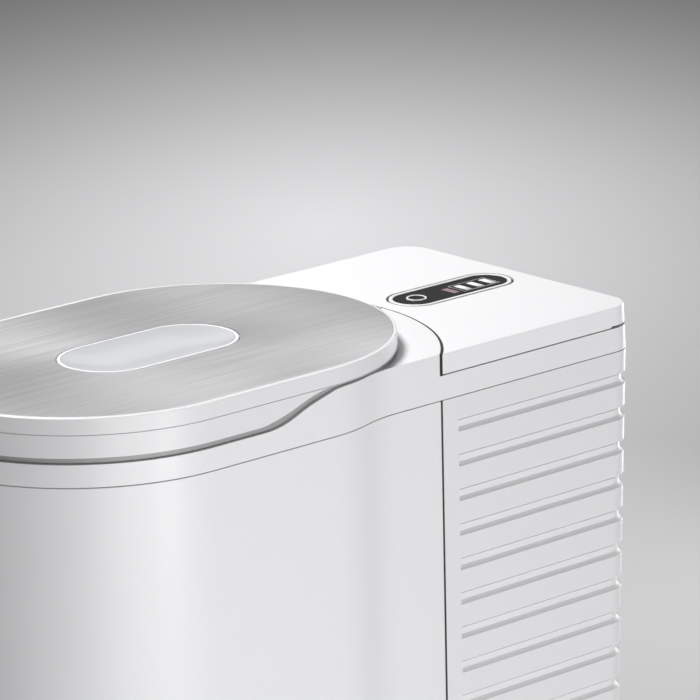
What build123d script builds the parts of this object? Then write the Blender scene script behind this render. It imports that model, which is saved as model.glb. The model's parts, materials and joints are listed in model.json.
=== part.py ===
from build123d import *
import math
import os

# A free-standing trash compactor. X runs across it, Y from the lid's nose to the back, Z up.
# The origin is on the floor under the middle of its box. All sizes are in millimetres.

# Driving dimensions
WIDTH = 300.0
DEPTH = 615.0
HEIGHT = 720.0
LID_R = WIDTH / 2
LID_SPAN = 123.7                      # between the centres of the lid's two half circles
NOSE_Y = -DEPTH / 2 + LID_R           # centre of the front half circle
HEEL_Y = NOSE_Y + LID_SPAN            # centre of the rear half circle
MID_Y = (NOSE_Y + HEEL_Y) / 2
BODY_R = 149.4
HOUSING_HALF = 137.0                  # half width of the machine housing
SHOULDER_R = 118.0                    # round edge where the front turns in towards the housing
BLEND_R = 109.0                       # hollow blend from there into the housing's flat side
CORNER_R = 24.0                       # upright back corners
BACK_Y = DEPTH / 2
BACK_TOP_Y = BACK_Y - 2.2             # back edge of the cap
BACK_FOOT_Y = BACK_Y - 22.0           # the back leans in towards the floor
OPENING_R = 133.0                     # mouth under the lid

# Heights
FOOT_H = 10.0
BASE_TOP = 34.0
BODY_TOP = HEIGHT - 54.75             # seam between the shells and the collar
CAP_BOTTOM = HEIGHT - 33.85
DECK = HEIGHT - 16.5                  # flat top around and behind the lid
SEAM = 0.7                            # level seams
SIDE_SEAM = 2.0                       # upright seam between the two shells
CAP_GAP = 2.1                         # round the front of the cap
WALL = 3.5
RIB_WALL = 8.0
SEAM_Y = HEEL_Y + 122.5               # upright seam between the front and rear shells
CAP_R = 184.6                         # front edge of the rear cap, about the heel centre
CAP_EDGE_R = 1.5
SLOT_Y = HEEL_Y + 311.2               # finger slot under the back of the cap
SLOT_H = 1.6

# Grooves of the rear shell
GROOVE_START_Y = HEEL_Y + 140.0
GROOVE_TOP = HEIGHT - 74.0
GROOVE_PITCH = 29.0
GROOVE_COUNT = 20
GROOVE_DEPTH = 3.7
GROOVE_WALL = 7.3                     # height of the upright inner face
GROOVE_H = 10.1                       # with the ledge that runs out to the lip
UNDERCUT_H = 2.2                      # deeper slot along the top of each groove
UNDERCUT = 2.4

# Ram and bin
BIN_R = 130.5
BIN_WALL = 2.5
BIN_TOP = HEIGHT - 60.0
BIN_FLOOR = 70.0
RAM_R = 110.0
DRIVE_R = 108.0
DRIVE_BOTTOM = HEIGHT - 114.0
RAM_BOTTOM = HEIGHT - 130.0
STAGE_TOP = HEIGHT - 33.0

# Lid
RIM_H = 13.0
CASE_DROP = 13.4                      # from the top down to the drive case
RIM_GROOVE_H = 1.4
LID_TRIM = 2.0                        # the rim is this much narrower behind the plate
PLATE_R = 145.2
PILL_Y = MID_Y - 0.8
PILL_R = 41.5
PILL_SPAN = 77.5
PILL_RIM = 3.0                        # width of the bright rim
DISH = 5.0                            # depth of the dished pad
BUFFER_GAP = 0.4                      # between the lid's grey buffer ring and the collar
HINGE_Y = HEEL_Y + 160.0
HINGE_Z = HEIGHT - 12.0
PIN_R = 2.5
KNUCKLE_R = 5.0
HINGE_SCREW_Y = HINGE_Y - 13.0
HINGE_FOOT = 1.6                      # thickness of the hinge feet, tucked under the lid

# Display on the cap
DISPLAY_Y = HEEL_Y + 260.0
DISPLAY_SPAN = 78.5
GLASS_R = 18.6
BEZEL_R = 22.1
CUTOUT_R = 24.3
BUTTON_Y = HEEL_Y + 222.0
BUTTON_R = 8.5
BAR_X = -5.6
BAR_LENGTH = 16.0
BAR_WIDTH = 6.6
BAR_PITCH = 14.0
ALERT_Y = HEEL_Y + 257.9

parts = {}


def stadium(radius, z, middle_y=MID_Y, span=LID_SPAN):
    """A face: two half circles joined by straight sides, long way along Y."""
    return Pos(0, middle_y, z) * SlotCenterToCenter(span, 2 * radius, rotation=90)


def stadium_block(radius, z0, z1, middle_y=MID_Y, span=LID_SPAN):
    return extrude(stadium(radius, z0, middle_y, span), amount=z1 - z0)


def stadium_ring(outer, inner, z0, z1, middle_y=MID_Y, span=LID_SPAN):
    ring = stadium_block(outer, z0, z1, middle_y, span)
    return ring - stadium_block(inner, z0 - 1, z1 + 1, middle_y, span)


def disc(radius, z0, z1, x=0.0, y=0.0):
    return Pos(x, y, z0) * extrude(Circle(radius), amount=z1 - z0)


def ring(outer, inner, z0, z1, x=0.0, y=0.0):
    return Pos(x, y, z0) * extrude(Circle(outer) - Circle(inner), amount=z1 - z0)


def rod_y(radius, y0, y1, x, z):
    return Pos(x, y0, z) * Rot(-90, 0, 0) * extrude(Circle(radius), amount=y1 - y0)


def rod_x(radius, x0, x1, y, z):
    return Pos(x0, y, z) * Rot(0, 90, 0) * extrude(Circle(radius), amount=x1 - x0)


def block(x0, x1, y0, y1, z0, z1):
    middle = Pos((x0 + x1) / 2, (y0 + y1) / 2, (z0 + z1) / 2)
    return middle * Box(x1 - x0, y1 - y0, z1 - z0)


def back_at(z):
    """Y of the back wall at a height of the shells: it leans in towards the floor."""
    return BACK_FOOT_Y + (BACK_Y - BACK_FOOT_Y) * (z - BASE_TOP) / (BODY_TOP - BASE_TOP)


def plan(inset, back_y, z):
    """The body's outline: a round front whose sides turn in and blend into a narrower housing behind."""
    nose_r = BODY_R - inset
    side_x = HOUSING_HALF - inset
    turn_r = SHOULDER_R - inset
    blend_r = BLEND_R + inset
    corner_r = CORNER_R - inset
    rear_y = back_y - inset
    turn_x = nose_r - turn_r
    blend_x = side_x + blend_r
    turn = math.degrees(math.acos((blend_x - turn_x) / (turn_r + blend_r)))
    blend_y = HEEL_Y + (turn_r + blend_r) * math.sin(math.radians(turn))
    half = [
        CenterArc((0, NOSE_Y), nose_r, -90, 90),
        Line((nose_r, NOSE_Y), (nose_r, HEEL_Y)),
        CenterArc((turn_x, HEEL_Y), turn_r, 0, turn),
        CenterArc((blend_x, blend_y), blend_r, 180 + turn, -turn),
        Line((side_x, blend_y), (side_x, rear_y - corner_r)),
        CenterArc((side_x - corner_r, rear_y - corner_r), corner_r, 0, 90),
        Line((side_x - corner_r, rear_y), (0, rear_y)),
    ]
    edges = half + [mirror(edge, about=Plane.YZ) for edge in half]
    return Pos(0, 0, z) * make_face(edges)


def plan_block(inset, z0, z1, back_y=BACK_TOP_Y):
    return extrude(plan(inset, back_y, z0), amount=z1 - z0)


def leaning_block(inset, z0, z1, back0, back1):
    """The body's outline drawn up from one back position to another."""
    return loft([plan(inset, back0, z0), plan(inset, back1, z1)], ruled=True)


def behind(y, z0=0.0, z1=HEIGHT + 50):
    """Everything behind a plane across the object."""
    return block(-WIDTH, WIDTH, y, DEPTH, z0, z1)


def side_cut(points, start_z, far_y):
    """What lies above a side curve: a spline through (y, z) points, level ahead of them and open behind."""
    first = points[0]
    last = points[-1]
    edges = [
        Line((-DEPTH, first[1]), first),
        Spline(points, tangents=[(1, 0), (1, 0)]),
        Line(last, (far_y, last[1])),
        Line((far_y, last[1]), (far_y, start_z)),
        Line((far_y, start_z), (-DEPTH, start_z)),
        Line((-DEPTH, start_z), (-DEPTH, first[1])),
    ]
    return extrude(Plane.YZ * make_face(edges), amount=WIDTH, both=True)


def base():
    """Levelling feet, the base pan and the tray the bin stands on."""
    spots = [(x, y) for x in (-95, 95) for y in (NOSE_Y, BACK_FOOT_Y - 50)]
    feet = [disc(18, 0, FOOT_H - 3, x, y) + disc(5, FOOT_H - 3, BASE_TOP - 6, x, y) for x, y in spots]
    parts["levelling_feet"] = Compound(feet)
    pan = plan_block(6, FOOT_H, BASE_TOP - 4, BACK_FOOT_Y)
    pan += plan_block(0.8, BASE_TOP - 4, BASE_TOP, BACK_FOOT_Y)
    pan -= plan_block(10, FOOT_H + 4, BASE_TOP + 1, BACK_FOOT_Y)
    for x, y in spots:
        pan += disc(12, FOOT_H + 4, BASE_TOP - 6, x, y)
        pan -= disc(5, FOOT_H - 1, BASE_TOP, x, y)
    parts["base_pan"] = pan
    tray = stadium_block(BODY_R - 8, BIN_FLOOR - 6, BIN_FLOOR - 3)
    tray -= block(-WIDTH, WIDTH, SEAM_Y - 20, DEPTH, 0, HEIGHT)
    for x, y in [(x, y) for x in (-70, 70) for y in (NOSE_Y, HEEL_Y)]:
        tray += disc(9, FOOT_H + 4, BIN_FLOOR - 6, x, y)
    parts["bin_tray"] = tray
    parts["bin_mat"] = stadium_block(BIN_R - 10, BIN_FLOOR - 3, BIN_FLOOR)


def front_shell():
    shell = plan_block(0, BASE_TOP, BODY_TOP - SEAM / 2, BACK_FOOT_Y)
    shell -= plan_block(WALL, BASE_TOP - 1, BODY_TOP + 1, BACK_FOOT_Y)
    parts["front_shell"] = shell - behind(SEAM_Y - SIDE_SEAM / 2)


def rear_shell():
    """The rear shell wraps round both back corners and carries the level grooves."""
    top = BODY_TOP - SEAM / 2
    shell = leaning_block(0, BASE_TOP, top, BACK_FOOT_Y, back_at(top))
    shell -= leaning_block(RIB_WALL, BASE_TOP, top, BACK_FOOT_Y, back_at(top))
    shell &= behind(SEAM_Y + SIDE_SEAM / 2)
    inside_seal = plan_block(WALL + 2.0, BASE_TOP, top, BACK_FOOT_Y)
    tongue = inside_seal - plan_block(WALL + 4.0, BASE_TOP, top, BACK_FOOT_Y)
    shell += tongue & block(-WIDTH, WIDTH, SEAM_Y - 9, SEAM_Y + 4, BASE_TOP, top)
    seal = plan_block(0.5, BASE_TOP, top, BACK_FOOT_Y) - inside_seal
    half_seam = SIDE_SEAM / 2 - 0.05
    parts["seam_seals"] = seal & block(-WIDTH, WIDTH, SEAM_Y - half_seam, SEAM_Y + half_seam, BASE_TOP, top)
    cutters = []
    for index in range(GROOVE_COUNT):
        z = GROOVE_TOP - index * GROOVE_PITCH
        rear_y = back_at(z)
        corner_x = HOUSING_HALF - CORNER_R
        corner_y = rear_y - CORNER_R
        route = [
            Line((HOUSING_HALF, GROOVE_START_Y, z), (HOUSING_HALF, corner_y, z)),
            Pos(0, 0, z) * CenterArc((corner_x, corner_y), CORNER_R, 0, 90),
            Line((corner_x, rear_y, z), (-corner_x, rear_y, z)),
            Pos(0, 0, z) * CenterArc((-corner_x, corner_y), CORNER_R, 90, 90),
            Line((-HOUSING_HALF, corner_y, z), (-HOUSING_HALF, GROOVE_START_Y, z)),
        ]
        tooth = Polyline(
            (3, 0),
            (-GROOVE_DEPTH - UNDERCUT, 0),
            (-GROOVE_DEPTH - UNDERCUT, -UNDERCUT_H),
            (-GROOVE_DEPTH, -UNDERCUT_H),
            (-GROOVE_DEPTH, -GROOVE_WALL),
            (-GROOVE_DEPTH * 0.45, -GROOVE_H + 0.9),
            (0, -GROOVE_H),
            (3, -GROOVE_H),
            close=True,
        )
        start = Plane((HOUSING_HALF, GROOVE_START_Y, z), x_dir=(1, 0, 0), z_dir=(0, -1, 0))
        cutters.append(sweep(start * make_face(tooth), path=Wire(route)))
    shell -= cutters
    shell -= block(-22, 22, DEPTH / 4, DEPTH, 52, 84)
    shell -= block(-70, 70, DEPTH / 4, DEPTH, 120, 220)
    parts["rear_shell"] = shell
    inlet = block(-21.6, 21.6, back_at(52) - 22, back_at(52) - 0.5, 52.4, 83.6)
    inlet -= block(-14, 14, back_at(52) - 16, DEPTH, 57, 79)
    inlet += block(-19, 19, back_at(52) - 26, back_at(52) - 22, 55, 81)
    parts["power_inlet"] = inlet
    pin_y = back_at(52) - 6
    parts["inlet_pins"] = Compound([block(x - 1, x + 1, pin_y - 10, pin_y, 65, 71) for x in (-8, 0, 8)])
    grille_y = back_at(120) - 4
    grille = block(-69.6, 69.6, grille_y - 6, grille_y, 120.4, 219.6)
    for index in range(9):
        grille -= block(-60, 60, grille_y - 20, grille_y + 20, 128 + index * 10, 133 + index * 10)
    parts["back_grille"] = grille


SHOULDER_CURVE = [(-75, -36.6), (-62, -36.0), (-47, -32.6), (-26, -24.6), (-5.5, -19.0), (15, -16.5)]
SKIRT_CURVE = [(-78, -31.3), (-66, -29.8), (-45, -24.4), (-25, -17.6), (-14, -15.0), (0, -13.9)]


def side_points(curve):
    """Side curves are given from the heel centre and from the top."""
    return [(HEEL_Y + y, HEIGHT + z) for y, z in curve]


def collar():
    """The top frame: an S-shaped shoulder under the lid, and a recessed seat for the rear cap."""
    body = leaning_block(0, BODY_TOP + SEAM / 2, DECK, BACK_Y, BACK_TOP_Y)
    body -= side_cut(side_points(SHOULDER_CURVE), HEIGHT + 50, HEEL_Y + 20)
    body -= stadium_block(OPENING_R, 0, HEIGHT + 1)
    cap_seat = behind(HEEL_Y, CAP_BOTTOM - SEAM, HEIGHT) - disc(CAP_R - CAP_GAP, 0, HEIGHT + 9, 0, HEEL_Y)
    body -= cap_seat
    hollow = plan_block(WALL, 0, HEIGHT - 40.1) - stadium_block(OPENING_R + WALL, 0, HEIGHT)
    body -= hollow
    flange = plan_block(RIB_WALL + 0.6, BODY_TOP - 10, HEIGHT - 40.1)
    flange -= plan_block(RIB_WALL + 3.1, 0, HEIGHT)
    body += flange - stadium_block(OPENING_R + WALL, 0, HEIGHT)
    body -= rod_x(KNUCKLE_R + 0.6, -24, 24, HINGE_Y, HINGE_Z)
    body -= block(-7.5, 7.5, NOSE_Y - OPENING_R - WALL - 1, NOSE_Y - 100, HEIGHT - 51, HEIGHT - 41)
    for x in (-15, 15):
        body -= disc(1.6, DECK - 9, HEIGHT, x, HINGE_SCREW_Y)
    parts["collar"] = body


def rear_cap():
    """The cap over the machine housing: its front edge follows the lid, a finger slot runs round its back."""
    top = leaning_block(0, CAP_BOTTOM, DECK, BACK_TOP_Y + 1.1, BACK_TOP_Y)
    top &= behind(HEEL_Y, CAP_BOTTOM, HEIGHT)
    top -= disc(CAP_R, 0, HEIGHT, 0, HEEL_Y)
    lower_edges = top.faces().sort_by(Axis.Z)[0].outer_wire().edges()
    top = fillet(lower_edges, 1.2)
    inner = plan_block(WALL, 0, DECK - WALL) - disc(CAP_R + WALL, 0, HEIGHT, 0, HEEL_Y)
    top -= inner
    top -= stadium_block(CUTOUT_R, 0, HEIGHT, DISPLAY_Y, DISPLAY_SPAN)
    top -= behind(SLOT_Y, CAP_BOTTOM - 1, CAP_BOTTOM + SLOT_H)
    top_edges = top.faces().sort_by(Axis.Z)[-1].outer_wire().edges()
    parts["rear_cap"] = fillet(top_edges, CAP_EDGE_R)
    strip = disc(CAP_R - 0.05, CAP_BOTTOM - SEAM + 0.1, DECK - 0.4, 0, HEEL_Y)
    strip -= disc(CAP_R - CAP_GAP + 0.05, 0, HEIGHT, 0, HEEL_Y)
    strip &= behind(HEEL_Y + 40, 0, HEIGHT)
    parts["cap_seal"] = strip & leaning_block(0.5, 0, HEIGHT, BACK_Y, BACK_TOP_Y)


def display():
    """Display set in the cap: a bright bezel, black glass, light guides and a ring push button."""

    def slab(radius, z0, z1):
        return stadium_block(radius, z0, z1, DISPLAY_Y, DISPLAY_SPAN)

    def button_disc(radius, z0, z1):
        return disc(radius, z0, z1, 0, BUTTON_Y)

    def bar(y, gap, z0, z1):
        half = BAR_WIDTH / 2 + gap
        return block(BAR_X - gap, BAR_X + BAR_LENGTH + gap, y - half, y + half, z0, z1)

    def frame(gap, z0, z1):
        x0, x1 = BAR_X - 3.2, BAR_X + BAR_LENGTH + 1.8
        y0, y1 = ALERT_Y + 7.0, ALERT_Y + 3 * BAR_PITCH + 5.1
        outer = block(x0 - gap, x1 + gap, y0 - gap, y1 + gap, z0, z1)
        line = 0.6 + gap
        return outer - block(x0 + line, x1 - line, y0 + line, y1 - line, z0 - 1, z1 + 1)

    seat_z = DECK - 12
    surface = DECK - 0.1
    bezel = slab(BEZEL_R, seat_z, DECK + 0.3) - slab(GLASS_R + 0.1, 0, HEIGHT)
    gasket = slab(CUTOUT_R - 0.1, DECK - WALL - 2, DECK - 1.6)
    gasket += slab(CUTOUT_R + 3, DECK - WALL - 2, DECK - WALL)
    parts["display_gasket"] = gasket - slab(BEZEL_R, 0, HEIGHT)
    parts["display_bezel"] = fillet(bezel.edges().group_by(Axis.Z)[-1], 0.8)
    status_y = [ALERT_Y + step * BAR_PITCH for step in (1, 2, 3)]
    glass = slab(GLASS_R, DECK - 2.5, surface) - button_disc(BUTTON_R + 0.4, 0, HEIGHT)
    for y in [ALERT_Y] + status_y:
        glass -= bar(y, 0.1, 0, HEIGHT)
    parts["display_glass"] = glass - frame(0.05, DECK - 1.2, HEIGHT)
    parts["alert_bar"] = bar(ALERT_Y, 0, DECK - 5, surface)
    parts["status_bars"] = Compound([bar(y, 0, DECK - 5, surface) for y in status_y])
    parts["status_frame"] = frame(0, DECK - 1.1, surface)
    board = slab(GLASS_R - 0.2, DECK - 6.6, DECK - 5) - button_disc(BUTTON_R + 0.5, 0, HEIGHT)
    parts["display_board"] = board
    parts["display_tray"] = slab(BEZEL_R, seat_z - 2, seat_z)
    parts["button_switch"] = button_disc(4, seat_z, DECK - 6.8)
    cup = ring(BUTTON_R, BUTTON_R - 1.6, DECK - 4.8, DECK + 0.9, 0, BUTTON_Y)
    parts["button_ring"] = fillet(cup.edges().group_by(Axis.Z)[-1], 0.5)
    parts["button_core"] = button_disc(BUTTON_R - 1.6, DECK - 4.8, DECK + 0.2)


def lid():
    """Lid shell with a rim and a skirt whose edge rises towards the back, and what is set in it."""
    shell = lid_block(LID_R, HEIGHT - 40, HEIGHT)
    shell = fillet(shell.edges().group_by(Axis.Z)[-1], 1.2)
    shell -= lid_block(LID_R - WALL, 0, HEIGHT - 5)
    shell -= stadium_block(PLATE_R + 0.3, HEIGHT - 1.7, HEIGHT + 1)
    below = block(-WIDTH, WIDTH, -DEPTH, DEPTH, 0, HEIGHT)
    below -= side_cut(side_points(SKIRT_CURVE), HEIGHT + 60, DEPTH)
    shell -= below
    rim_z = HEIGHT - RIM_H
    rim_low, rim_high = rim_z - RIM_GROOVE_H / 2, rim_z + RIM_GROOVE_H / 2
    shell -= lid_block(LID_R + 1, rim_low, rim_high) - lid_block(LID_R - 1.2, rim_low, rim_high)
    shell -= pill(PILL_R + 0.6, HEIGHT - 9, HEIGHT + 1)
    shell += stadium_ring(102, 99, HEIGHT - 11, HEIGHT - 4)
    hinge_slot = block(-8.6, 8.6, HINGE_Y - 25, HINGE_Y, 0, HEIGHT - 5)
    parts["lid_shell"] = shell - hinge_slot
    plate = stadium_block(PLATE_R, HEIGHT - 1.6, HEIGHT - 0.1) - pill(PILL_R + 1.0, 0, HEIGHT + 1)
    parts["lid_plate"] = plate
    well = pill(PILL_R, HEIGHT - 12.2, HEIGHT) - pill(PILL_R - PILL_RIM, HEIGHT - 10.6, HEIGHT + 1)
    parts["pill_frame"] = fillet(well.edges().group_by(Axis.Z)[-1], 0.5)
    parts["press_pad"] = dished_pad(PILL_R - PILL_RIM - 0.3)
    posts = [(x, PILL_Y + y) for x in (-18, 18) for y in (-36, 36)]
    parts["pad_springs"] = Compound([ring(3, 2.2, HEIGHT - 10.6, HEIGHT - 7.6, x, y) for x, y in posts])
    liner = lid_block(LID_R - WALL - 0.4, HEIGHT - CASE_DROP, HEIGHT - 11)
    liner += stadium_ring(OPENING_R - 2.2, OPENING_R - 5, HEIGHT - 39, HEIGHT - CASE_DROP)
    buffer_points = [(y, z + BUFFER_GAP) for y, z in side_points(SHOULDER_CURVE)]
    buffer = lid_block(LID_R - WALL - 0.4, HEIGHT - 40, HEIGHT - CASE_DROP)
    buffer -= lid_block(LID_R - WALL - 5, 0, HEIGHT)
    buffer &= side_cut(buffer_points, HEIGHT + 50, DEPTH)
    liner += buffer - behind(HEEL_Y + 60)
    liner -= pill(PILL_R + 0.6, 0, HEIGHT)
    parts["lid_liner"] = liner - hinge_slot
    seal = stadium_ring(OPENING_R - 1.2, OPENING_R - 2.2, HEIGHT - 37, HEIGHT - 33)
    parts["lid_seal"] = seal


def lid_block(radius, z0, z1):
    return stadium_block(radius, z0, z1, MID_Y - LID_TRIM / 2, LID_SPAN - LID_TRIM)


def pill(radius, z0, z1):
    return stadium_block(radius, z0, z1, PILL_Y, PILL_SPAN)


def dished_pad(radius):
    """The pad in the lid, hollowed to a smooth trough with round ends."""
    top = HEIGHT - 0.3
    reach = radius - 0.3
    hollow_r = (reach**2 + DISH**2) / (2 * DISH)
    hollow_z = top - DISH + hollow_r
    y0, y1 = PILL_Y - PILL_SPAN / 2, PILL_Y + PILL_SPAN / 2
    hollow = rod_y(hollow_r, y0, y1, 0, hollow_z)
    for y in (y0, y1):
        hollow += Pos(0, y, hollow_z) * Sphere(hollow_r)
    return pill(radius, HEIGHT - 7.6, top) - hollow


def hinge():
    """A short hinge behind the lid: one lid arm between two knuckles, their feet tucked under the lid."""
    arm = rod_x(KNUCKLE_R, -8, 8, HINGE_Y, HINGE_Z)
    arm += block(-8, 8, HINGE_Y - 25, HINGE_Y - 3, HEIGHT - 9.6, HEIGHT - 5)
    parts["hinge_arm"] = arm - rod_x(PIN_R + 0.05, -30, 30, HINGE_Y, HINGE_Z)
    foot_top = DECK + HINGE_FOOT
    cheeks = []
    for x in (-15, 15):
        cheek = rod_x(KNUCKLE_R, x - 6, x + 6, HINGE_Y, HINGE_Z)
        cheek += block(x - 6, x + 6, HINGE_Y - 19, HINGE_Y - 2, DECK, foot_top)
        cheek -= rod_x(PIN_R, -30, 30, HINGE_Y, HINGE_Z)
        cheek -= disc(1.6, 0, HEIGHT, x, HINGE_SCREW_Y)
        cheeks.append(cheek - disc(3.1, foot_top - 0.9, HEIGHT, x, HINGE_SCREW_Y))
    parts["hinge_cheeks"] = Compound(cheeks)
    parts["hinge_pin"] = rod_x(PIN_R, -21, 21, HINGE_Y, HINGE_Z)
    head = foot_top - 0.9
    parts["hinge_screws"] = Compound([
        disc(1.5, DECK - 8, head, x, HINGE_SCREW_Y) + disc(3, head, foot_top - 0.1, x, HINGE_SCREW_Y)
        for x in (-15, 15)
    ])


def drive():
    """Ram drive under the lid: gear motor, belt, pulley with a splined shaft and the guide sleeve."""
    top = HEIGHT - CASE_DROP
    case = stadium_block(DRIVE_R, DRIVE_BOTTOM, top)
    case -= stadium_block(DRIVE_R - 2.5, DRIVE_BOTTOM + 2.5, top - 2.5)
    case -= disc(42.0, 0, HEIGHT - 60, 0, MID_Y)
    case -= block(-7.5, 7.5, NOSE_Y - 120, NOSE_Y - 100, HEIGHT - 51, HEIGHT - 41)
    parts["drive_case"] = case
    parts["guide_sleeve"] = ring(42.0, 39.0, DRIVE_BOTTOM, STAGE_TOP, 0, MID_Y)
    motor_y = MID_Y - 78
    motor = disc(22, HEIGHT - 108, HEIGHT - 34, 0, motor_y) + disc(24, HEIGHT - 60, HEIGHT - 52, 0, motor_y)
    motor -= disc(3, HEIGHT - 40, HEIGHT, 0, motor_y)
    parts["gear_motor"] = motor
    parts["motor_pulley"] = disc(11, HEIGHT - 30, HEIGHT - 20, 0, motor_y) + disc(
        2.95, HEIGHT - 39, HEIGHT - 30, 0, motor_y)
    pulley = disc(33, HEIGHT - 30, HEIGHT - 20, 0, MID_Y) + disc(10, HEIGHT - 112, HEIGHT - 30, 0, MID_Y)
    parts["drive_pulley"] = pulley + disc(6, HEIGHT - 20, HEIGHT - 16.4, 0, MID_Y)
    parts["thrust_bearing"] = ring(16, 6.05, HEIGHT - 19.8, HEIGHT - 15.9, 0, MID_Y)
    parts["drive_belt"] = belt_loop(11.3, 33.3, motor_y, MID_Y, HEIGHT - 29, HEIGHT - 21)
    inner_outer = [(38.6, 36.0), (35.6, 33.0)]
    for number, (outer, inner) in enumerate(inner_outer, start=1):
        tube = ring(outer, inner, DRIVE_BOTTOM - 0.4, STAGE_TOP, 0, MID_Y)
        parts[f"ram_stage_{number}"] = tube
    parts["ram_post"] = ring(32.6, 11.0, RAM_BOTTOM + 14, STAGE_TOP, 0, MID_Y)
    plate = stadium_block(RAM_R, RAM_BOTTOM + 5, RAM_BOTTOM + 14) - stadium_block(
        RAM_R - 3, RAM_BOTTOM + 8, RAM_BOTTOM + 15)
    plate += disc(36, RAM_BOTTOM + 8, RAM_BOTTOM + 14, 0, MID_Y)
    for x in (-60, 0, 60):
        plate += block(x - 2, x + 2, MID_Y - 120, MID_Y + 120, RAM_BOTTOM + 8, RAM_BOTTOM + 14)
    parts["ram_plate"] = plate
    pad = stadium_block(RAM_R, RAM_BOTTOM, RAM_BOTTOM + 5)
    for x in range(-80, 81, 20):
        pad -= block(x - 3, x + 3, MID_Y - 190, MID_Y + 190, RAM_BOTTOM - 1, RAM_BOTTOM + 2)
    parts["ram_pad"] = pad


def belt_loop(small_r, large_r, small_y, large_y, z0, z1):
    """A flat belt round two pulleys: the outline of two discs and their common tangents, hollowed."""

    def outline(extra):
        reach = large_y - small_y
        lean = math.asin((large_r - small_r) / reach)
        near = (small_r + extra) * math.cos(lean), small_y - (small_r + extra) * math.sin(lean)
        far = (large_r + extra) * math.cos(lean), large_y - (large_r + extra) * math.sin(lean)
        web = make_face(Polyline(near, far, (-far[0], far[1]), (-near[0], near[1]), close=True))
        return web + Pos(0, small_y) * Circle(small_r + extra) + Pos(0, large_y) * Circle(large_r + extra)

    return Pos(0, 0, z0) * extrude(outline(1.6) - outline(0), amount=z1 - z0)


def lid_lock():
    """A solenoid in the drive case pushes a bolt into the collar while the ram runs."""
    z = HEIGHT - 46
    front = NOSE_Y - DRIVE_R
    body = block(-13, 13, front + 4, front + 30, z - 9, z + 9)
    body -= block(-6.1, 6.1, front, front + 26, z - 3.1, z + 3.1)
    parts["lock_solenoid"] = body
    parts["lock_bolt"] = block(-6, 6, NOSE_Y - 127, front + 16, z - 3, z + 3)


def bin_and_ring():
    bucket = stadium_block(BIN_R, BIN_FLOOR, BIN_TOP)
    bucket -= stadium_block(BIN_R - BIN_WALL, BIN_FLOOR + BIN_WALL, HEIGHT)
    bucket += stadium_ring(BIN_R + 1.6, BIN_R - BIN_WALL, BIN_TOP - 6, BIN_TOP)
    parts["waste_bin"] = bucket
    ring_r = BIN_R - BIN_WALL - 0.1
    parts["bag_ring"] = stadium_ring(ring_r, ring_r - 1.4, BIN_TOP - 16, BIN_TOP + 1)


def machine_room():
    """Behind the bin: a bulkhead, power supply, control board, fan with its shroud and an odour filter."""
    wall_y = SEAM_Y + 14
    low = BASE_TOP - 4
    wall = block(-126, 126, wall_y, wall_y + 2, low, BODY_TOP - 12)
    wall += block(-126, 126, wall_y, wall_y + 14, FOOT_H + 4, low)
    wall -= rod_y(38, wall_y - 5, wall_y + 20, 0, 560)
    parts["bulkhead"] = wall
    parts["power_supply"] = block(-110, -30, wall_y + 2, wall_y + 60, 60, 200)
    board = block(20, 115, wall_y + 12, wall_y + 13.6, 300, 420)
    for x, z in [(30, 310), (105, 310), (30, 410), (105, 410)]:
        board += rod_y(3, wall_y + 2, wall_y + 12, x, z)
    board += block(40, 70, wall_y + 13.6, wall_y + 30, 330, 360)
    parts["control_board"] = board
    parts["odour_filter"] = block(-55, 55, wall_y + 2, wall_y + 42, 505, 615) - rod_y(
        34, wall_y, wall_y + 50, 0, 560)
    shroud_y = wall_y + 42
    shroud = block(-55, 55, shroud_y, shroud_y + 26, 505, 615)
    shroud -= rod_y(45, shroud_y - 1, shroud_y + 30, 0, 560)
    shroud += block(-55, 55, shroud_y + 22, shroud_y + 26, 556, 564)
    shroud += rod_y(14, shroud_y + 16, shroud_y + 26, 0, 560)
    shroud += rod_y(2.95, shroud_y + 5, shroud_y + 16, 0, 560)
    parts["fan_shroud"] = shroud
    fan = rod_y(14, shroud_y + 2, shroud_y + 15, 0, 560)
    fan -= rod_y(3.0, shroud_y + 4, shroud_y + 16, 0, 560)
    blade = Pos(0, shroud_y + 8, 588) * Rot(0, 0, 35) * Box(16, 2, 30)
    for index in range(7):
        fan += Pos(0, 0, 560) * Rot(0, index * 360 / 7, 0) * Pos(0, 0, -560) * blade
    parts["fan"] = fan


if __name__ == "__main__":
    os.makedirs("parts", exist_ok=True)
    for make in (base, front_shell, rear_shell, collar, rear_cap, display, lid, hinge, drive, lid_lock,
                 bin_and_ring, machine_room):
        make()
    for name, shape in parts.items():
        export_step(shape, f"parts/{name}.step")
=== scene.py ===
import json
import math

import bmesh
import bpy
from mathutils import Matrix, Vector

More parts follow.
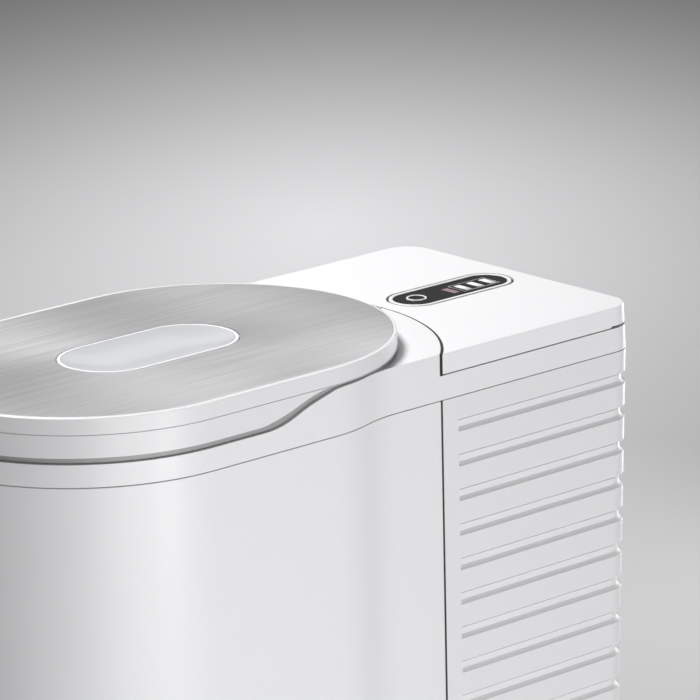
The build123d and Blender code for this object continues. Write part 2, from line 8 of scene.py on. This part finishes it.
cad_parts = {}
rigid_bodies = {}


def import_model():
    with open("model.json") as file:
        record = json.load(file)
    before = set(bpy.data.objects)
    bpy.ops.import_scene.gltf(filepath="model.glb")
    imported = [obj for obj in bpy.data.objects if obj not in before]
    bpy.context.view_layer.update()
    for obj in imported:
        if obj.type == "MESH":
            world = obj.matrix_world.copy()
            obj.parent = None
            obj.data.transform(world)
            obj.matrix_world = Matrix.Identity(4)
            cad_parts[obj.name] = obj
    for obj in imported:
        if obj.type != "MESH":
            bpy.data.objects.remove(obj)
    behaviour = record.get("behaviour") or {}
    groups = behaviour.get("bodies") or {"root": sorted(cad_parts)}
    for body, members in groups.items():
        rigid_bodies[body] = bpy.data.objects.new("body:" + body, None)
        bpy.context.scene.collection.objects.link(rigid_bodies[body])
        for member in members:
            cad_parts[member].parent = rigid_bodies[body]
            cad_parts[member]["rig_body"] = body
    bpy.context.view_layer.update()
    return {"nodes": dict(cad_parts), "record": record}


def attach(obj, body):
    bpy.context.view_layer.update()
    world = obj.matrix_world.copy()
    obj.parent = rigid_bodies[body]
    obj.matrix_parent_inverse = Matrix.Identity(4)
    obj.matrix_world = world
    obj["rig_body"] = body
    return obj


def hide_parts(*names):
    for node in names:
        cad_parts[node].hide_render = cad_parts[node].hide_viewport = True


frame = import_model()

NODES = frame["nodes"]
SLOTS = {sub["node"]: sub["material_slot"] for sub in frame["record"]["subparts"]}
ROUNDED = {                           # radius in metres of the sharp edges of each
    "front_shell": 0.0006,
    "rear_shell": 0.0007,
    "collar": 0.0009,
    "lid_shell": 0.0006,
    "pill_frame": 0.0002,
    "display_bezel": 0.0002,
    "rear_cap": 0.0007,
}
MERGE_DISTANCE = 0.00001              # metres
FLAT_WITHIN = 0.6                     # degrees

# Camera: a long lens, looking down on the lid's nose and the ribbed side.
CAMERA_AT = (2.8505, -2.4087, 1.7561)
AZIMUTH = 48.49
PITCH = 15.86
ROLL = -1.29
LENS = 250.4


def bright(*values):
    """A colour from 0..1 values, with its alpha."""
    return (*values, 1.0)


def grey(value):
    return bright(value, value, value * 1.015)


class Finish:
    """A node material on a Principled shader, with helpers for the nodes in front of it."""

    def __init__(self, name, colour, roughness, metallic=0.0, **sockets):
        self.material = bpy.data.materials.new(name)
        self.material.use_nodes = True
        self.tree = self.material.node_tree
        self.shader = self.tree.nodes["Principled BSDF"]
        self.shader.inputs["Base Color"].default_value = colour
        self.shader.inputs["Roughness"].default_value = roughness
        self.shader.inputs["Metallic"].default_value = metallic
        for socket, value in sockets.items():
            self.shader.inputs[socket.replace("_", " ")].default_value = value
        self.colour = colour
        self.roughness = roughness
        self.bump_height = None
        self.place = self.tree.nodes.new("ShaderNodeTexCoord").outputs["Object"]

    def node(self, kind, **inputs):
        made = self.tree.nodes.new(kind)
        for socket, value in inputs.items():
            target = made.inputs[socket.replace("_", " ")]
            if isinstance(value, bpy.types.NodeSocket):
                self.tree.links.new(value, target)
            else:
                target.default_value = value
        return made

    def noise(self, scale, stretch=(1, 1, 1), detail=3.0):
        """Noise in the object's own metres; stretch below 1 draws it out along that axis."""
        mapping = self.node("ShaderNodeMapping", Vector=self.place, Scale=stretch)
        made = self.node("ShaderNodeTexNoise", Vector=mapping.outputs[0], Scale=scale, Detail=detail)
        return made.outputs["Fac"]

    def ranged(self, value, low, high):
        made = self.node("ShaderNodeMapRange", Value=value, To_Min=low, To_Max=high)
        return made.outputs["Result"]

    def weighted(self, *terms, offset=0.0):
        """The sum of some values, each times its weight."""
        total = offset
        for value, weight in terms:
            made = self.node("ShaderNodeMath")
            made.operation = "MULTIPLY_ADD"
            self.tree.links.new(value, made.inputs[0])
            made.inputs[1].default_value = weight
            if isinstance(total, float):
                made.inputs[2].default_value = total
            else:
                self.tree.links.new(total, made.inputs[2])
            total = made.outputs[0]
        return total

    def vary_colour(self, value, share):
        """Moves the colour a little up and down with a 0..1 value."""
        mix = self.tree.nodes.new("ShaderNodeMix")
        mix.data_type = "RGBA"
        dark = bright(*[c * (1 - share) for c in self.colour[:3]])
        light = bright(*[min(1.0, c * (1 + share)) for c in self.colour[:3]])
        mix.inputs[6].default_value = dark
        mix.inputs[7].default_value = light
        self.tree.links.new(value, mix.inputs[0])
        self.tree.links.new(mix.outputs[2], self.shader.inputs["Base Color"])
        return self

    def vary_roughness(self, value, spread):
        result = self.ranged(value, self.roughness - spread, self.roughness + spread)
        self.tree.links.new(result, self.shader.inputs["Roughness"])
        return self

    def bump(self, value, depth, strength=1.0):
        made = self.node("ShaderNodeBump", Height=value, Distance=depth, Strength=strength)
        if self.bump_height is not None:
            self.tree.links.new(self.bump_height, made.inputs["Normal"])
        self.bump_height = made.outputs["Normal"]
        self.tree.links.new(self.bump_height, self.shader.inputs["Normal"])
        return self


def moulded(name, colour, roughness, coat=0.0, grain=0.000006):
    """Injection-moulded plastic: faint flow marks and a fine orange peel."""
    made = Finish(name, colour, roughness, Coat_Weight=coat, Coat_Roughness=0.16)
    flow = made.noise(4.0, detail=1.0)
    made.vary_colour(flow, 0.004).vary_roughness(made.noise(9.0, detail=1.0), 0.012)
    return made.bump(made.noise(700.0, detail=2.0), grain).material


def lit_bar(name, colour, faded):
    """A light guide whose light falls off across it, from -X to +X."""
    made = Finish(name, colour, 0.25)
    across = made.node("ShaderNodeSeparateXYZ", Vector=made.place).outputs["X"]
    fall = made.node("ShaderNodeMapRange", Value=across, From_Min=0.002, From_Max=0.0104)
    mix = made.tree.nodes.new("ShaderNodeMix")
    mix.data_type = "RGBA"
    mix.inputs[6].default_value = colour
    mix.inputs[7].default_value = faded
    made.tree.links.new(fall.outputs["Result"], mix.inputs[0])
    made.tree.links.new(mix.outputs[2], made.shader.inputs["Base Color"])
    return made.material


def brushed(name, colour, roughness, along, fine=1.0):
    """Brushed metal: streaks drawn out along one axis, in colour, roughness and relief."""
    made = Finish(name, colour, roughness, metallic=1.0, Anisotropic=0.55)
    stretch = tuple(0.012 if axis == along else 1.0 for axis in "xyz")
    streaks = made.noise(900.0 * fine, stretch, detail=5.0)
    made.vary_colour(streaks, 0.10).vary_roughness(streaks, 0.07)
    return made.bump(streaks, 0.00003, 0.6).material


def lid_steel(name, colour, roughness):
    """Brushed sheet on the lid: streaks of several widths, over painted reflection in broad soft stripes
    and in a tone that shifts across the sheet along X.
    """
    made = Finish(name, colour, roughness, metallic=1.0, Anisotropic=0.5)
    fine = made.noise(1100.0, (1.0, 0.010, 1.0), detail=3.0)
    wide = made.noise(280.0, (1.0, 0.022, 1.0), detail=3.0)
    # Painted reflection: wide soft stripes along Y stand in for the studio seen in the sheet.
    shifted = made.node("ShaderNodeMapping", Vector=made.place, Location=(0.0, 0.049, 0.0))
    painted_reflection_bands = made.node(
        "ShaderNodeTexWave",
        Vector=shifted.outputs[0],
        Scale=1.6,
        Distortion=0.7,
        Detail_Scale=3.0,
    )
    painted_reflection_bands.bands_direction = "Y"
    # Painted reflection: the tone also grows lighter across the sheet from -X to +X.
    across = made.node("ShaderNodeSeparateXYZ", Vector=made.place).outputs["X"]
    side = made.node("ShaderNodeMapRange", Value=across, From_Min=-0.15, From_Max=0.15).outputs["Result"]
    # Streaks and painted reflection together set the colour.
    total = made.weighted((painted_reflection_bands.outputs["Fac"], 0.5), (side, 0.35), (wide, 0.9), (fine, 0.8), offset=-0.77)
    made.vary_colour(total, 0.26).vary_roughness(wide, 0.05)
    return made.bump(fine, 0.00003, 0.5).material


def cast_grain(name, colour, roughness, scale, depth, metallic=0.0):
    """A grained surface, such as textured plastic or rubber."""
    made = Finish(name, colour, roughness, metallic=metallic)
    made.vary_colour(made.noise(scale / 8), 0.06).vary_roughness(made.noise(scale / 3), 0.05)
    return made.bump(made.noise(scale, detail=4.0), depth).material


MATERIALS = {
    "shell_white": moulded("shell white", grey(0.80), 0.42, coat=0.12),
    "rib_white": moulded("rib white", grey(0.77), 0.42, coat=0.10),
    "cap_white": moulded("cap white", grey(0.84), 0.38, coat=0.12),
    "lid_white": moulded("lid white", grey(0.76), 0.42, coat=0.10),
    "pad_grey": moulded("pad grey", bright(0.53, 0.54, 0.56), 0.34, coat=0.2),
    "steel_plate": lid_steel("steel plate", grey(0.64), 0.34),
    "metal": brushed("turned metal", grey(0.58), 0.28, "z", fine=0.7),
    "zinc": cast_grain("zinc plate", bright(0.56, 0.57, 0.58), 0.42, 260.0, 0.00002, metallic=0.9),
    "black_glass": Finish("black glass", bright(0.006, 0.006, 0.007), 0.12, IOR=1.06),
    "bar_white": lit_bar("white light guide", grey(0.93), grey(0.42)),
    "bar_red": moulded("red light guide", bright(0.25, 0.13, 0.14), 0.28),
    "black": cast_grain("black plastic", grey(0.025), 0.48, 1200.0, 0.00004),
    # Grey plastic; its dark tone also makes the liner ring in the gap under the lid's skirt stand in for
    # painted shade there.
    "grey_plastic": cast_grain("grey plastic", grey(0.34), 0.45, 1100.0, 0.00003),
    "rubber": cast_grain("black rubber", grey(0.022), 0.62, 700.0, 0.00006),
    "bin_grey": cast_grain("bin plastic", bright(0.24, 0.25, 0.27), 0.42, 800.0, 0.00005),
    "circuit_board": cast_grain("circuit board", bright(0.02, 0.14, 0.06), 0.35, 500.0, 0.00003),
}
glass = MATERIALS["black_glass"]
MATERIALS["black_glass"] = glass.vary_roughness(glass.noise(60.0), 0.015).material


def dress_cad_nodes():
    for node, slot in SLOTS.items():
        mesh = NODES[node].data
        mesh.materials.clear()
        mesh.materials.append(MATERIALS[slot])


def make_camera():
    a, p, r = (math.radians(v) for v in (AZIMUTH, PITCH, ROLL))
    forward = Vector((-math.sin(a) * math.cos(p), math.cos(a) * math.cos(p), -math.sin(p)))
    level = Vector((math.cos(a), math.sin(a), 0))
    up = level.cross(forward)
    right = level * math.cos(r) + up * math.sin(r)
    up = right.cross(forward)
    data = bpy.data.cameras.new("camera")
    data.lens = LENS
    data.clip_end = 100.0
    camera = bpy.data.objects.new("camera", data)
    facing = Matrix((right, up, -forward)).transposed().to_4x4()
    camera.matrix_world = Matrix.Translation(CAMERA_AT) @ facing
    bpy.context.scene.collection.objects.link(camera)
    bpy.context.scene.camera = camera


def area_light(name, at, look_at, size, power, spread=180.0):
    data = bpy.data.lights.new(name, "AREA")
    data.shape = "RECTANGLE"
    data.size, data.size_y = size
    data.energy = power
    data.spread = math.radians(spread)
    lamp = bpy.data.objects.new(name, data)
    lamp.location = at
    lamp.rotation_mode = "QUATERNION"
    lamp.rotation_quaternion = (Vector(look_at) - Vector(at)).to_track_quat("-Z", "Y")
    lamp.visible_camera = False
    bpy.context.scene.collection.objects.link(lamp)


def from_object(azimuth, elevation, distance, height=0.62):
    """A place around the object: azimuth 0 is towards +X, 90 towards the back."""
    a, e = math.radians(azimuth), math.radians(elevation)
    flat = distance * math.cos(e)
    return (flat * math.cos(a), flat * math.sin(a), height + distance * math.sin(e))


def make_studio():
    bpy.context.scene.view_settings.view_transform = "Standard"
    middle = (0.0, 0.0, 0.62)
    area_light("overhead softbox", (-0.65, -0.55, 2.9), middle, (0.8, 0.8), 68.0)
    area_light("low side softbox", from_object(-22, -7, 2.6), from_object(-22, 0, 0.1), (1.3, 0.8), 24.4)
    area_light("side strip", from_object(1, -4, 1.9), from_object(0, 0, 0.1), (0.5, 0.9), 12.9)
    area_light("rear strip", from_object(100, 0, 1.9), from_object(60, 0, 0.1), (0.5, 1.2), 12.0)
    area_light("back softbox", from_object(150, 24, 3.2), middle, (2.2, 1.0), 6.4)
    area_light("floor light", (-2.4, 2.25, 2.2), (-2.4, 2.25, 0.0), (1.0, 1.0), 14.5, spread=130.0)
    world = bpy.data.worlds.new("studio")
    world.use_nodes = True
    background = world.node_tree.nodes["Background"]
    background.inputs["Color"].default_value = grey(0.90)
    background.inputs["Strength"].default_value = 0.15
    bpy.context.scene.world = world
    make_floor()


def make_floor():
    """A pale floor, brighter in a soft patch of painted light behind the object."""
    bpy.ops.mesh.primitive_grid_add(size=60, x_subdivisions=8, y_subdivisions=8)
    floor = bpy.context.object
    floor.name = "floor"
    finish = Finish("floor", grey(0.66), 0.7)
    placed = finish.node(
        "ShaderNodeMapping",
        Vector=finish.place,
        Location=(-2.3, 2.1, 0.0),
        Rotation=(0.0, 0.0, math.radians(AZIMUTH)),
        Scale=(1.05, 2.6, 1.0),
    )
    placed.vector_type = "TEXTURE"
    # Painted light: a soft spherical patch of brighter floor behind the object.
    painted_light_pool = finish.node("ShaderNodeTexGradient", Vector=placed.outputs[0])
    painted_light_pool.gradient_type = "SPHERICAL"
    finish.vary_colour(painted_light_pool.outputs["Fac"], 0.35)
    finish.vary_roughness(finish.noise(3.0), 0.04)
    floor.data.materials.append(finish.material)


def soften(node, width, sharp=28.0):
    """Stands a copy of a CAD node in for it, with its sharp edges rounded to a small radius."""
    source = NODES[node]
    mesh = bmesh.new()
    mesh.from_mesh(source.data)
    bmesh.ops.remove_doubles(mesh, verts=mesh.verts, dist=MERGE_DISTANCE)
    flat = math.radians(FLAT_WITHIN)
    bmesh.ops.dissolve_limit(mesh, angle_limit=flat, verts=mesh.verts, edges=mesh.edges)
    data = bpy.data.meshes.new(node + "_mesh")
    mesh.to_mesh(data)
    mesh.free()
    data.shade_smooth()
    raw = bpy.data.objects.new(node + "_raw", data)
    bpy.context.scene.collection.objects.link(raw)
    bevel = raw.modifiers.new("rounding", "BEVEL")
    bevel.width = width
    bevel.segments = 3
    bevel.limit_method = "ANGLE"
    bevel.angle_limit = math.radians(sharp)
    bevel.miter_outer = "MITER_ARC"
    bevel.harden_normals = True
    evened = raw.modifiers.new("even shading", "WEIGHTED_NORMAL")
    evened.keep_sharp = True
    evaluated = raw.evaluated_get(bpy.context.evaluated_depsgraph_get())
    final = bpy.data.meshes.new_from_object(evaluated)
    bpy.data.objects.remove(raw)
    final.materials.clear()
    final.materials.append(source.data.materials[0])
    piece = bpy.data.objects.new(node + "_rounded", final)
    bpy.context.scene.collection.objects.link(piece)
    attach(piece, source["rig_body"])
    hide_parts(node)


dress_cad_nodes()
for rounded_node, rounded_width in ROUNDED.items():
    soften(rounded_node, rounded_width)
make_camera()
make_studio()
